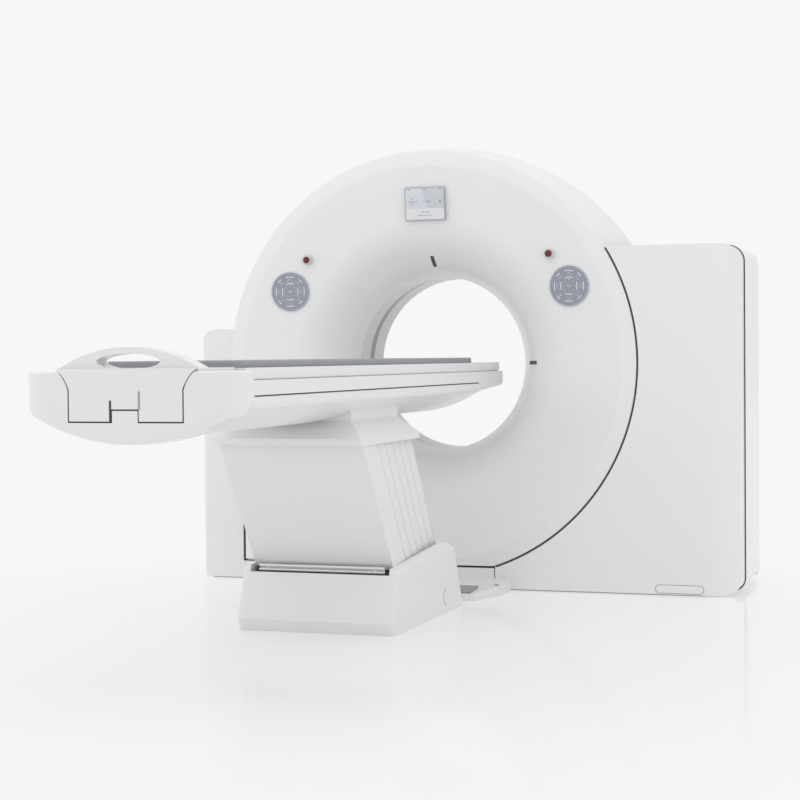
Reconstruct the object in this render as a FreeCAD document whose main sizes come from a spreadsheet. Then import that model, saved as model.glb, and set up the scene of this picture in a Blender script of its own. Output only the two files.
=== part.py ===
"""Computed tomography scanner: tilting ring gantry between two stands, and a patient table
on a parallelogram lift.

Frame: X across the table, Y from the foot end through the bore, Z up.
Origin: on the floor, straight under the centre of the bore.  Millimetres.
"""
import FreeCAD
import Part
import math
import os
import re

doc = FreeCAD.newDocument("ct_scanner")
sheet = doc.addObject("Spreadsheet::Sheet", "sizes")
V = FreeCAD.Vector
X_AXIS, Y_AXIS, Z_AXIS = V(1, 0, 0), V(0, 1, 0), V(0, 0, 1)

# how far the ring's two outer edges lie from the point it tilts about
REACHES = ("hypot(shoulder_radius; shoulder_offset)", "hypot(ring_radius; shoulder_offset / 2)")

# every driving size; one that follows from others is a formula on them
SIZES = {
    # bore and tilting ring
    "iso_height": 885, "bore_radius": 350, "bore_half_length": 140, "liner_wall": 4,
    "window_half_width": 25, "ring_front": 352, "crease_radius": 780, "shoulder_radius": 842,
    "shoulder_offset": 300, "ring_radius": 873, "ring_flat_height": 88, "cover_wall": 6,
    "cover_split": 1.5, "throat_radius": 400, "throat_offset": 232, "flare_radius": 600,
    "flare_offset": 330,
    # stands
    "stand_front": 346, "seam_clearance": 16.1521, "ring_reach": "=max(%s; %s)" % REACHES,
    "seam_sphere": "=ring_reach + seam_clearance", "right_top": 1327, "stand_round": 114,
    "side_seam": 172, "seam_gap": 8, "stand_inner": 276, "foot_gap": 4, "left_top": 1033,
    "left_half_depth": 262, "corner_lap": 127, "corner_outer": "=seam_sphere - corner_lap",
    "left_lap": 12, "left_inner": "=corner_outer + left_lap", "corner_depth": 40,
    "plinth_top": 84, "plinth_thickness": 7, "top_round": 62,
    # pivots, pylons and floor frame
    "floor_thickness": 12, "pivot_radius": 50, "pivot_clearance": 0.05, "pylon_gap": 6,
    "pylon_inner": "=seam_sphere + pylon_gap", "pivot_seat": 69,
    "pivot_reach": "=pylon_inner + pivot_seat", "pylon_thickness": 80, "pylon_half_depth": 110,
    "pylon_above_axis": 100, "bearing_wall": 28, "left_room": 16, "right_room": 224,
    "left_outer": "=pylon_inner + pylon_thickness + left_room",
    "right_outer": "=pylon_inner + pylon_thickness + right_room", "anchor_radius": 9,
    "anchor_inset": 332, "anchor_span_x": "=left_outer + right_outer - anchor_inset",
    "anchor_span_y": 460,
    # rotating parts
    "frame_inner": 656, "frame_outer": 765, "frame_half_depth": 40, "race_wall": 16,
    "race_half_depth": 20, "race_clearance": 0.3, "drum_inner": 380, "drum_half_depth": 18,
    "tube_radius": 80, "tube_length": 150, "tube_orbit": 520, "detector_inner": 470,
    "detector_depth": 70, "detector_length": 110, "detector_half_angle": 30,
    # operating parts on the ring
    "keypad_orbit": 648, "keypad_angle": 27, "keypad_radius": 78, "keypad_thickness": 6,
    "stop_orbit": 653, "stop_angle": 40, "stop_radius": 13, "stop_height": 14, "stop_travel": 4,
    "stop_collar": 19, "stop_set": 5, "display_width": 164, "display_height": 130,
    "display_rise": 629, "display_z": "=iso_height + display_rise",
    "display_thickness": 14, "window_slot": 40, "window_slot_width": 14,
    # table top and carriage
    "table_top": 887, "top_half_width": 235, "top_tip": -60, "tip_round": 60, "top_thickness": 34,
    "table_end": -2893, "hull_half_width": 260, "hull_nose": -138, "hull_side_bottom": 775,
    "hull_bottom": 700, "hull_corner": 14, "cap_half_width": 316, "cap_length": 250,
    "cap_bottom": 686, "cap_side_bottom": 762, "cap_corner": 42, "cap_round": 70,
    "cap_bulge": 6, "cap_edge": 8, "cap_chin": 24, "pad_half_width": 205, "pad_thickness": 20,
    "pad_end": -400, "leg_outer": 165, "leg_inner": 41, "leg_drop": 137, "neck_drop": 105,
    "flare_drop": 55, "flare_bow": 15, "brim_drop": 24,
    "grip_half_width": 205, "grip_rise": 58, "grip_thickness": 60, "hole_half_width": 93,
    "hole_height": 40, "slide_travel": 1500, "run_gap": 0.3, "mouth_gap": 4,
    # lift column: arms, panels and side leaves are parallel and equally long
    "arm_length": 503, "arm_angle": 56, "lift_range": 40, "arm_foot_y": -1270, "arm_foot_z": 198,
    "arm_spacing": 240, "arm_half_gap": 150, "arm_width": 46, "arm_thickness": 24,
    "shaft_radius": 16, "panel_half_width": 248, "panel_foot_y": -1484, "panel_foot_z": 222,
    "panel_thickness": 10, "panel_hem": 17, "leaf_count": 6, "leaf_thickness": 3,
    "leaf_rise": 13, "leaf_overlap": 4, "leaf_gap": 0.3, "column_rear_y": -944,
    "head_band": 22, "head_wall": 3, "head_top_half": 193, "rail_radius": 5,
    # base
    "base_half_width": 279, "base_front": -1567, "base_rear": -771, "base_front_height": 192,
    "base_rear_height": 251, "base_toe_height": 50, "base_wall": 8,
    "base_plate": 12, "ear_thickness": 16, "cheek_round": 24, "cheek_rise": 22,
    # pedal unit
    "pedal_front": -704, "pedal_pivot_y": -572, "pedal_pivot_z": 33, "pedal_width": 84,
    "left_pedal_x": 92, "right_pedal_x": 190,
}
for row, (alias, value) in enumerate(SIZES.items(), start=1):
    sheet.set("A%d" % row, alias)
    sheet.set("B%d" % row, str(value))
    sheet.setAlias("B%d" % row, alias)
doc.recompute()


def size(alias):
    """A driving dimension as the sheet holds it."""
    return float(getattr(sheet, alias))


WORD = re.compile(r"\b[a-z][a-z_]*\b")
nodes = []


def formula(text):
    """An expression in which every size name points at its cell."""
    return WORD.sub(lambda m: "sizes." + m.group() if m.group() in SIZES else m.group(), str(text))


def bind(obj, **properties):
    """Ties properties to formulas; place=(x, y, z) ties the position."""
    place = properties.pop("place", None)
    for name, text in properties.items():
        obj.setExpression(name, formula(text))
    if place:
        for letter, text in zip("xyz", place):
            obj.setExpression("Placement.Base." + letter, formula(text))
    return obj


def box(name, low, high):
    """A block between two corners, each given as three formulas."""
    block = doc.addObject("Part::Box", name)
    sides = ["(%s) - (%s)" % (b, a) for a, b in zip(low, high)]
    return bind(block, Length=sides[0], Width=sides[1], Height=sides[2], place=low)


def rod(name, axis, foot, radius, length):
    """A cylinder that starts at foot and runs along axis."""
    cylinder = doc.addObject("Part::Cylinder", name)
    cylinder.Placement.Rotation = FreeCAD.Rotation(Z_AXIS, axis)
    return bind(cylinder, Radius=radius, Height=length, place=foot)


def ball(name, centre, radius):
    return bind(doc.addObject("Part::Sphere", name), Radius=radius, place=centre)


def fuse(name, pieces):
    joined = doc.addObject("Part::MultiFuse", name)
    joined.Shapes = pieces
    joined.Refine = True
    return joined


def cut(name, base, tools):
    """The base with every tool taken out of it."""
    result = doc.addObject("Part::Cut", name)
    result.Base = base
    result.Tool = tools[0] if len(tools) == 1 else fuse(name + "_tools", tools)
    return result


def fillet(name, base, choices):
    """Rounds the edges that each (test, radius) picks, where test gets the edge's mid point and
    direction."""
    doc.recompute()
    picked = []
    for number, edge in enumerate(base.Shape.Edges, start=1):
        mid = edge.valueAt((edge.FirstParameter + edge.LastParameter) / 2)
        way = edge.tangentAt((edge.FirstParameter + edge.LastParameter) / 2)
        radius = next((r for test, r in choices if test(mid, way)), None)
        if radius:
            picked.append((number, radius, radius))
    if not picked:
        return base
    rounded = doc.addObject("Part::Fillet", name)
    rounded.Base = base
    rounded.Edges = picked
    return rounded


def form(name, shape):
    """A shape that is worked out from the sizes in code."""
    feature = doc.addObject("Part::Feature", name)
    feature.Shape = shape
    feature.Placement = FreeCAD.Placement()
    return feature


def node(obj, label):
    """Marks a finished piece; its label names its file."""
    obj.Label = label
    nodes.append(obj)
    return obj


def near(value, target):
    return abs(value - target) < 0.01


# ---- the tilting ring -----------------------------------------------------------------------
ISO = V(0, 0, size("iso_height"))


def ring_point(radius, offset, face):
    """A point of the ring's section; face is -1 at the table side and 1 at the rear."""
    return V(radius, face * offset, ISO.z)


def ring_outline(face, inset):
    """The funnel, crease, shoulder and barrel of one half, moved inwards by inset."""
    lip = ring_point(size("bore_radius") + inset, size("bore_half_length"), face)
    throat = ring_point(size("throat_radius") + 0.85 * inset,
                        size("throat_offset") - 0.5 * inset, face)
    flare = ring_point(size("flare_radius") + 0.2 * inset, size("flare_offset") - inset, face)
    crease = ring_point(size("crease_radius") - 0.3 * inset, size("ring_front") - inset, face)
    shoulder = ring_point(size("shoulder_radius") - 0.8 * inset,
                          size("shoulder_offset") - 0.5 * inset, face)
    waist = ring_point(size("ring_radius") - inset, size("cover_split"), face)
    drop = size("ring_radius") - size("shoulder_radius")
    flank = ring_point(size("ring_radius") - inset - 0.22 * drop, size("shoulder_offset") / 2, face)
    return [Part.Arc(lip, throat, flare).toShape(), Part.LineSegment(flare, crease).toShape(),
            Part.LineSegment(crease, shoulder).toShape(), Part.Arc(shoulder, flank, waist).toShape()]


def revolve(edges):
    face = Part.Face(Part.Wire(Part.__sortEdges__(edges)))
    return face.revolve(ISO, Y_AXIS, 360)


def first_point(edges):
    return edges[0].Vertexes[0].Point


def last_point(edges):
    return edges[-1].Vertexes[-1].Point


def link(start, end):
    return Part.LineSegment(start, end).toShape()


def ring_block(face, inset):
    """The full half ring from its bore out, as one solid."""
    edges = ring_outline(face, inset)
    start = V(first_point(edges).x, last_point(edges).y, ISO.z)
    return revolve(edges + [link(start, first_point(edges)), link(last_point(edges), start)])


def slab(low, high):
    """A plain block between two points, for cutting."""
    side = high - low
    return Part.makeBox(side.x, side.y, side.z, low)


REACH = 2 * size("ring_radius")


def above_flat(shape, lift=0):
    """Takes off what lies under the ring's flat underside."""
    level = size("ring_flat_height") + lift
    return shape.cut(slab(V(-REACH, -REACH, level - REACH), V(REACH, REACH, level)))


def ring_cover(face):
    """One half of the ring's moulded cover, with its closed flat underside."""
    wall = size("cover_wall")
    outer = ring_outline(face, 0)
    inner = ring_outline(face, wall)
    skin = revolve(outer + inner + [link(first_point(outer), first_point(inner)),
                                    link(last_point(outer), last_point(inner))])
    block = ring_block(face, 0)
    level = size("ring_flat_height")
    under = block.common(slab(V(-REACH, -REACH, level), V(REACH, REACH, level + wall)))
    hole = Part.makeCylinder(size("pivot_radius") + wall, 2 * REACH, ISO - X_AXIS * REACH, X_AXIS)
    return above_flat(skin).fuse(under).cut(hole).removeSplitter()


node(form("FrontCover", ring_cover(-1)), "ring_front_cover")
node(form("RearCover", ring_cover(1)), "ring_rear_cover")
front_block = ring_block(-1, 0)


def on_front(name, tool, rise):
    """A thin piece on the ring's front face, following its curve and standing rise proud."""
    raised = ring_block(-1, -rise)
    return form(name, tool.common(raised).cut(front_block))


def orbit_place(orbit, angle, side):
    turn = math.radians(size(angle))
    return V(side * size(orbit) * math.cos(turn), 0, ISO.z + size(orbit) * math.sin(turn))


SIDES = (("left", -1), ("right", 1))
collars = []
for side_name, side in SIDES:
    middle = orbit_place("keypad_orbit", "keypad_angle", side)
    disc = Part.makeCylinder(size("keypad_radius"), REACH, middle, -Y_AXIS)
    node(on_front("Keypad_" + side_name, disc, size("keypad_thickness")), side_name + "_keypad")

    middle = orbit_place("stop_orbit", "stop_angle", side)
    face_y = -size("ring_front") - size("stop_travel")
    rim = Part.makeCylinder(size("stop_collar"), REACH, middle, -Y_AXIS)
    rim = rim.common(slab(V(-REACH, face_y, 0), V(REACH, -size("flare_offset") + 40, 2 * REACH)))
    rim = rim.cut(front_block)
    well = Part.makeCylinder(size("stop_radius") + size("run_gap"), REACH, middle, -Y_AXIS)
    collars.append(rim.cut(well))
    plunger = rod("Plunger_" + side_name, -Y_AXIS,
                  ("%d * stop_orbit * cos(stop_angle)" % side,
                   "stop_set - ring_front",
                   "iso_height + stop_orbit * sin(stop_angle)"), "stop_radius", "stop_height")
    dome = fillet("StopDome_" + side_name, plunger,
                  [(lambda m, w: m.y < 1 + size("stop_set") - size("ring_front")
                    - size("stop_height"), 3.0)])
    node(dome, side_name + "_stop_button")

node(form("Collars", Part.makeCompound(collars)), "stop_collars")
half = size("display_width") / 2
low_z = size("display_z") - size("display_height") / 2
bezel = slab(V(-half, -size("ring_front"), low_z), V(half, 0, low_z + size("display_height")))
raised_box = on_front("DisplayBlock", bezel, size("display_thickness"))
doc.recompute()
node(raised_box, "display_panel")

# light slots of the laser lines round the funnel
slot_ring = ring_block(-1, -1.5).cut(front_block)
slots = []
for angle in (0, 90, 180):
    slot_low = size("throat_radius") - size("window_slot") / 3
    half_slot = size("window_slot_width") / 2
    slot = slab(V(slot_low, -REACH, -half_slot), V(slot_low + size("window_slot"), 0, half_slot))
    slot.rotate(V(0, 0, 0), Y_AXIS, -angle)
    slot.translate(ISO)
    slots.append(slot.common(slot_ring))
node(form("LaserWindows", Part.makeCompound(slots)), "laser_windows")

# bore liners and scan window between them
for label, low, high in (("bore_liner_front", "-bore_half_length", "-window_half_width"),
                         ("bore_liner_rear", "window_half_width", "bore_half_length"),
                         ("scan_window", "-window_half_width", "window_half_width")):
    outside = rod(label + "_outside", Y_AXIS, ("0", low, "iso_height"),
                  "bore_radius + liner_wall", "(%s) - (%s)" % (high, low))
    inside = rod(label + "_inside", Y_AXIS, ("0", low, "iso_height"),
                 "bore_radius", "(%s) - (%s)" % (high, low))
    node(cut(label + "_tube", outside, [inside]), label)


def annulus(name, inner, outer, low, high):
    """A ring about the bore axis between two radii and two stations."""
    length = "(%s) - (%s)" % (high, low)
    disc = rod(name + "_disc", Y_AXIS, ("0", low, "iso_height"), outer, length)
    hole = rod(name + "_hole", Y_AXIS, ("0", low, "iso_height"), inner, length)
    return cut(name + "_ring", disc, [hole])


# ring frame with its two pivot shafts
frame_ring = annulus("Frame", "frame_inner", "frame_outer", "-frame_half_depth", "frame_half_depth")
shafts = [rod("Shaft_" + n, X_AXIS * s, ("%d * (frame_outer - 40)" % s, "0", "iso_height"),
              "pivot_radius - pivot_clearance", "pivot_reach - frame_outer + 40") for n, s in SIDES]
doc.recompute()
inside = ring_block(-1, size("cover_wall") + size("run_gap")).fuse(
    ring_block(1, size("cover_wall") + size("run_gap")))
lugs = []
for angle in (40, 140, 220, 320):
    lug = slab(V(size("frame_outer") - 10, -size("frame_half_depth"), -20),
               V(REACH, size("frame_half_depth"), 20))
    lug.rotate(V(0, 0, 0), Y_AXIS, angle)
    lug.translate(ISO)
    lugs.append(form("Lug_%d" % angle, lug.common(inside)))
node(fuse("TiltFrame", [frame_ring] + shafts + lugs), "tilt_frame")
node(annulus("OuterRace", "frame_inner - race_wall", "frame_inner", "-race_half_depth",
             "race_half_depth"), "outer_race")

# rotor
INNER_RACE = "frame_inner - race_wall - race_clearance"
node(annulus("InnerRace", INNER_RACE + " - race_wall", INNER_RACE, "-race_half_depth",
             "race_half_depth"), "inner_race")
node(annulus("Drum", "drum_inner", INNER_RACE + " - race_wall", "-drum_half_depth",
             "drum_half_depth"), "rotor_drum")
tube = rod("Tube", -Y_AXIS, ("0", "-drum_half_depth", "iso_height + tube_orbit"), "tube_radius",
           "tube_length")
node(fillet("TubeHousing", tube, [(lambda m, w: m.y < -size("tube_length"), 12.0)]), "xray_tube")


def sector(inner, outer, start, end, middle, half_angle):
    """A block bent round the bore axis."""
    wedge = Part.makeCylinder(outer, end - start, V(0, start, ISO.z), Y_AXIS, 2 * half_angle)
    found = wedge.CenterOfMass - ISO
    wedge.rotate(ISO, Y_AXIS, math.degrees(math.atan2(found.z, found.x)) - middle)
    block = wedge.cut(Part.makeCylinder(inner, end - start, V(0, start, ISO.z), Y_AXIS))
    return block.Solids[0]


ROTOR_FRONT = -size("drum_half_depth")
detector = size("detector_inner")
node(form("Detector", sector(detector, detector + size("detector_depth"),
                             ROTOR_FRONT - size("detector_length"), ROTOR_FRONT, -90,
                             size("detector_half_angle"))), "detector_arc")
for label, middle, half_angle, depth in (("tube_cooler", 42, 14, 120), ("tube_generator", 138, 14, 130),
                                         ("balance_weight", 175, 12, 70)):
    node(form(label, sector(detector - 30, detector + 110, ROTOR_FRONT - depth, ROTOR_FRONT, middle,
                            half_angle)), label)
node(annulus("SlipRing", "drum_inner + 30", "drum_inner + 110", "drum_half_depth",
             "drum_half_depth + 24"), "slip_ring")

# ---- stands ---------------------------------------------------------------------------------
# floor frame: a plate under the pylons, a wider one under the covers, and the anchor holes
plate = box("FloorPlate", ("-left_outer + 40", "cover_wall + foot_gap - left_half_depth", "0"),
            ("right_outer - 90", "left_half_depth - cover_wall - foot_gap", "floor_thickness"))
tray = box("CoverTray", ("-corner_outer + cover_wall", "plinth_thickness - stand_front", "0"),
           ("right_outer - 130", "stand_front - plinth_thickness", "floor_thickness"))
floor = fuse("FloorWeldment", [plate, tray])
holes = [rod("Anchor_%d%d" % (i, j), Z_AXIS,
             ("(right_outer - left_outer) / 2 + %d * anchor_span_x / 2" % i,
              "%d * anchor_span_y / 2" % j, "-1"), "anchor_radius", "floor_thickness + 2")
         for i in (-1, 1) for j in (-1, 1)]
node(cut("FloorFrame", floor, holes), "floor_frame")

def shell_box(name, low, high, rounds, open_low, open_high):
    """A rounded cover: a block, its outer edges rounded, with a like block one wall smaller
    taken out.  open_low and open_high name the axes on which that side of the cover is open."""
    outer = fillet(name + "_outside", box(name + "_block", low, high),
                   [(test, radius) for test, radius in rounds])
    inner_low = ["(%s) - 20" % v if a in open_low else "(%s) + cover_wall" % v
                 for a, v in zip("xyz", low)]
    inner_high = ["(%s) + 20" % v if a in open_high else "(%s) - cover_wall" % v
                  for a, v in zip("xyz", high)]
    wall = size("cover_wall")
    grown = [(test, radius - wall) for test, radius in rounds if radius > wall + 1]
    inner = fillet(name + "_inside", box(name + "_hollow", inner_low, inner_high), grown)
    return outer, inner


def sphere_cut(name, outer, inner):
    """A cover opened by the ball that the ring tilts in."""
    hollow = ball(name + "_ball", ("0", "0", "iso_height"), "seam_sphere")
    return cut(name, outer, [inner, hollow, floor])


def edge_test(x=None, y=None, z=None, along=None, slack=12):
    """A test for edges near the given planes that run along an axis."""
    def test(middle, way):
        flat = [abs(value - wanted) < slack
                for value, wanted in ((middle.x, x), (middle.y, y), (middle.z, z))
                if wanted is not None]
        return all(flat) and abs(abs(way.dot(along)) - 1) < 0.01
    return test


right, top = size("right_outer"), size("right_top")
plinths = []
for face, where in ((-1, "front"), (1, "rear")):
    seam = "-side_seam" if face < 0 else "seam_gap - side_seam"
    flat = "%d * stand_front" % face
    low, high = (flat, seam) if face < 0 else (seam, flat)
    rounds = [(edge_test(x=right, y=face * size("stand_front"), along=Z_AXIS), size("stand_round")),
              (edge_test(x=right, z=top, along=Y_AXIS), size("top_round")),
              (edge_test(x=right, z=size("foot_gap"), along=Y_AXIS), size("top_round") - 12)]
    outer, inner = shell_box("Right_" + where, ("stand_inner", low, "foot_gap"),
                             ("right_outer", high, "right_top"), rounds,
                             "z" if face < 0 else "zy", "y" if face < 0 else "")
    node(sphere_cut("RightCover_" + where, outer, inner), "right_stand_%s_cover" % where)

    left, left_top = -size("left_outer"), size("left_top")
    depth = "%d * left_half_depth" % face
    low, high = (depth, "-seam_gap / 2") if face < 0 else ("seam_gap / 2", depth)
    rounds = [(edge_test(x=left, y=face * size("left_half_depth"), along=Z_AXIS), 24.0),
              (edge_test(x=left, z=left_top, along=Y_AXIS), size("top_round") + 6),
              (edge_test(x=left, z=size("foot_gap"), along=Y_AXIS), 30.0)]
    outer, inner = shell_box("Left_" + where, ("-left_outer", low, "foot_gap"),
                             ("-left_inner", high, "left_top"), rounds,
                             "z" if face < 0 else "zy", "y" if face < 0 else "")
    node(sphere_cut("LeftCover_" + where, outer, inner), "left_stand_%s_cover" % where)

    inside = "%d * (stand_front - corner_depth)" % face
    low, high = (flat, inside) if face < 0 else (inside, flat)
    outer, inner = shell_box("Corner_" + where, ("-corner_outer", low, "plinth_top + seam_gap"),
                             ("-stand_inner", high, "iso_height"), [],
                             "" if face < 0 else "y", "y" if face < 0 else "")
    step = "%d * (stand_front - plinth_thickness)" % face
    deep = "%d * (stand_front - plinth_thickness - cover_wall)" % face
    low, high = (step, deep) if face < 0 else (deep, step)
    skirt = box("CornerSkirt_" + where, ("-corner_outer + cover_wall", low, "floor_thickness"),
                ("-stand_inner - cover_wall", high, "plinth_top + seam_gap + cover_wall"))
    corner_cover = fuse("CornerShell_" + where, [outer, skirt])
    node(sphere_cut("CornerCover_" + where, corner_cover, inner), "%s_corner_cover" % where)

    back = "%d * (stand_front - plinth_thickness)" % face
    low, high = (flat, back) if face < 0 else (back, flat)
    panel = box("Plinth_" + where, ("-corner_outer", low, "foot_gap"),
                ("stand_inner - 4", high, "plinth_top"))
    plinths.append(panel)

doc.recompute()
node(form("Plinths", Part.makeCompound([p.Shape for p in plinths])), "plinth_covers")

PYLON_TOP = "iso_height + pylon_above_axis"
RACE_OUT = "pivot_radius + bearing_wall"
bearings = []
for side_name, side in SIDES:
    low_x = "pylon_inner" if side > 0 else "-pylon_inner - pylon_thickness"
    high_x = "pylon_inner + pylon_thickness" if side > 0 else "-pylon_inner"
    column = box("Pylon_" + side_name, (low_x, "-pylon_half_depth", "floor_thickness"),
                 (high_x, "pylon_half_depth", PYLON_TOP))
    seat = rod("Seat_" + side_name, X_AXIS, (low_x, "0", "iso_height"), RACE_OUT, "pylon_thickness")
    window = box("PylonWindow_" + side_name, (low_x, "22 - pylon_half_depth", "floor_thickness + 90"),
                 (high_x, "pylon_half_depth - 22", "iso_height - 190"))
    shaped = fillet("PylonShape_" + side_name, column,
                    [(edge_test(y=-size("pylon_half_depth"), z=size("iso_height")
                                + size("pylon_above_axis"), along=X_AXIS), 60.0),
                     (edge_test(y=size("pylon_half_depth"), z=size("iso_height")
                                + size("pylon_above_axis"), along=X_AXIS), 60.0)])
    node(cut("PylonBody_" + side_name, shaped, [seat, window]), side_name + "_pylon")
    race = rod("Race_" + side_name, X_AXIS, (low_x, "0", "iso_height"), RACE_OUT, "pylon_thickness")
    eye = rod("Eye_" + side_name, X_AXIS, (low_x, "0", "iso_height"), "pivot_radius",
              "pylon_thickness")
    bearings.append(cut("Bearing_" + side_name, race, [eye]))
doc.recompute()
node(form("TiltBearings", Part.makeCompound([b.Shape for b in bearings])), "tilt_bearings")


# ---- patient table --------------------------------------------------------------------------
def prism(points, low_x, high_x):
    """A side profile of (y, z) points carried across from low_x to high_x."""
    corners = [V(low_x, y, z) for y, z in points]
    face = Part.Face(Part.makePolygon(corners + corners[:1]))
    return face.extrude(V(high_x - low_x, 0, 0))


def plan(points, low_z, high_z):
    """An outline of (x, y) points carried up from low_z to high_z."""
    corners = [V(x, y, low_z) for x, y in points]
    face = Part.Face(Part.makePolygon(corners + corners[:1]))
    return face.extrude(V(0, 0, high_z - low_z))


def hull_section(y, half_width, side_low, keel_low, corner, top_level):
    """The hull's outline across the table: straight sides, soft corners and a shallow keel."""
    sides = []
    for side in (-1, 1):
        sides.append([V(side * half_width, y, top_level),
                      V(side * half_width, y, side_low + corner),
                      V(side * (half_width - 0.32 * corner), y, side_low + 0.2 * corner),
                      V(side * (half_width - 1.1 * corner), y, side_low - 0.25 * corner)])
    left, right = sides
    return Part.Wire([link(right[0], left[0]), link(left[0], left[1]),
                      Part.Arc(left[1], left[2], left[3]).toShape(),
                      Part.Arc(left[3], V(0, y, keel_low), right[3]).toShape(),
                      Part.Arc(right[3], right[2], right[1]).toShape(), link(right[1], right[0])])


def hull(stations, top_level, ruled=True):
    """Hull stretched over stations of (y, half width, side bottom, keel bottom, corner)."""
    sections = [hull_section(*station, top_level) for station in stations]
    return Part.makeLoft(sections, True, ruled)


end, nose = size("table_end"), size("hull_nose")
half = size("hull_half_width")
board_low = size("table_top") - size("top_thickness")
rail_top = board_low - size("run_gap")
cap_rear = end + size("cap_length")
side_bottom, keel = size("hull_side_bottom"), size("hull_bottom")
step_y = nose - 350
corner = size("hull_corner")
body = hull([(cap_rear, half, side_bottom, keel, corner), (step_y, half, side_bottom, keel, corner)],
            rail_top)
prow = hull([(step_y, half, side_bottom + 4, keel + 22, corner),
             (nose, half - 6, side_bottom + 22, keel + 72, corner)], rail_top)

# foot end cap: wider than the hull and drawn in to it, open for the sliding end piece
cap_half, cap_round, cap_bulge = size("cap_half_width"), size("cap_round"), size("cap_bulge")
cap_top = size("table_top") - 6
full = (cap_half + size("cap_bulge") / 2, size("cap_side_bottom"), size("cap_bottom"), size("cap_corner"))
meet = (half, side_bottom, keel, corner)
stations = []
for share, blend in ((0, 0), (0.3, 0), (0.5, 0.12), (0.75, 0.72), (0.9, 0.96), (1, 1)):
    stations.append([end + share * (cap_rear - end)]
                    + [a + blend * (b - a) for a, b in zip(full, meet)])
cap_hull = hull(stations, cap_top, False)
front_y, side_y = end + cap_bulge, end + cap_bulge + cap_round
pull = cap_round * (1 - math.sqrt(0.5))
ends = []
for side in (-1, 1):
    ends.append([V(side * cap_half, cap_rear, 0), V(side * cap_half, side_y, 0),
                 V(side * (cap_half - pull), front_y + pull, 0),
                 V(side * (cap_half - cap_round), front_y, 0)])
left, right_end = ends
outline = Part.Wire([link(right_end[0], left[0]), link(left[0], left[1]),
                     Part.Arc(left[1], left[2], left[3]).toShape(),
                     Part.Arc(left[3], V(0, end, 0), right_end[3]).toShape(),
                     Part.Arc(right_end[3], right_end[2], right_end[1]).toShape(),
                     link(right_end[1], right_end[0])])
cap_plan = Part.Face(outline).extrude(V(0, 0, 2 * cap_top))
cap_block = cap_hull.common(cap_plan)
chin = [e for e in cap_block.Edges if e.CenterOfMass.y < side_y
        and e.BoundBox.ZMax < cap_top - cap_round / 2]
cap_block = cap_block.makeFillet(size("cap_chin"), chin)
rim = [e for e in cap_block.Edges if near(e.CenterOfMass.z, cap_top) and e.CenterOfMass.y < cap_rear - 1]
cap_block = cap_block.makeFillet(size("cap_edge"), rim)
grip_half = size("grip_half_width")
mouth_low = size("table_top") - size("leg_drop")


def end_piece(gap):
    """The end piece of the table top seen from the foot end: a head, and two legs that
    straddle the carriage's centre rail.  gap grows it, to cut its clearance."""
    leg_out, leg_in = size("leg_outer") + gap, size("leg_inner") - gap
    neck_low = size("table_top") - size("neck_drop") - gap
    foot, brim = mouth_low - gap, size("table_top") + 2
    shoulder = size("table_top") - size("flare_drop")
    bow_x, bow_z = leg_out + size("flare_bow"), size("table_top") - size("brim_drop")
    outline = [(-leg_out, shoulder), (-leg_out, foot), (-leg_in, foot), (-leg_in, neck_low),
               (leg_in, neck_low), (leg_in, foot), (leg_out, foot), (leg_out, shoulder)]
    corners = [V(x, end - 60, z) for x, z in outline]
    flares = []
    for side in (-1, 1):
        flares.append(Part.Arc(V(side * leg_out, end - 60, shoulder),
                               V(side * bow_x, end - 60, bow_z),
                               V(side * (grip_half + gap), end - 60, brim)).toShape())
    edges = [link(a, b) for a, b in zip(corners, corners[1:])]
    edges += flares + [link(V(-grip_half - gap, end - 60, brim), V(grip_half + gap, end - 60, brim))]
    face = Part.Face(Part.Wire(Part.__sortEdges__(edges)))
    return face.extrude(V(0, 60 + size("cap_length") + (size("slide_travel") + 100 if gap else -20), 0))


mouth = end_piece(size("mouth_gap"))
over = slab(V(-cap_half - 10, end - 100, size("table_top") - 6),
            V(cap_half + 10, cap_rear + 10, 2 * size("table_top")))
cap_shape = cap_block.cut(mouth).cut(over)
node(form("FootCap", cap_shape.removeSplitter()), "foot_end_cap")
legs = end_piece(0).common(cap_plan)
ledge, brow = size("table_top") - 6 + size("run_gap"), size("table_top") + 2
arch_y = end + 22
foot_left, foot_right = V(-grip_half, arch_y, ledge), V(grip_half, arch_y, ledge)
brow_left, brow_right = V(-grip_half, arch_y, brow), V(grip_half, arch_y, brow)
peak = V(0, arch_y, size("table_top") + size("grip_rise"))
arch = Part.Face(Part.Wire([link(foot_left, foot_right), link(foot_right, brow_right),
                            Part.Arc(brow_right, peak, brow_left).toShape(),
                            link(brow_left, foot_left)]))
arch = arch.extrude(V(0, size("grip_thickness"), 0))
hand = Part.makeCylinder(1, size("cap_length") + 150, V(0, 0, 0), Y_AXIS)
scale = FreeCAD.Matrix()
scale.scale(size("hole_half_width"), 1, size("hole_height") / 2)
hand = hand.transformGeometry(scale)
hand.translate(V(0, end - 100, size("table_top") + size("hole_height") / 2))
apron = slab(V(-grip_half, end + 20, ledge), V(grip_half, cap_rear - 3, brow))
grip = legs.fuse(arch).fuse(apron.common(cap_plan)).cut(hand).removeSplitter()
node(form("EndGrip", grip), "end_grip")

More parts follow.
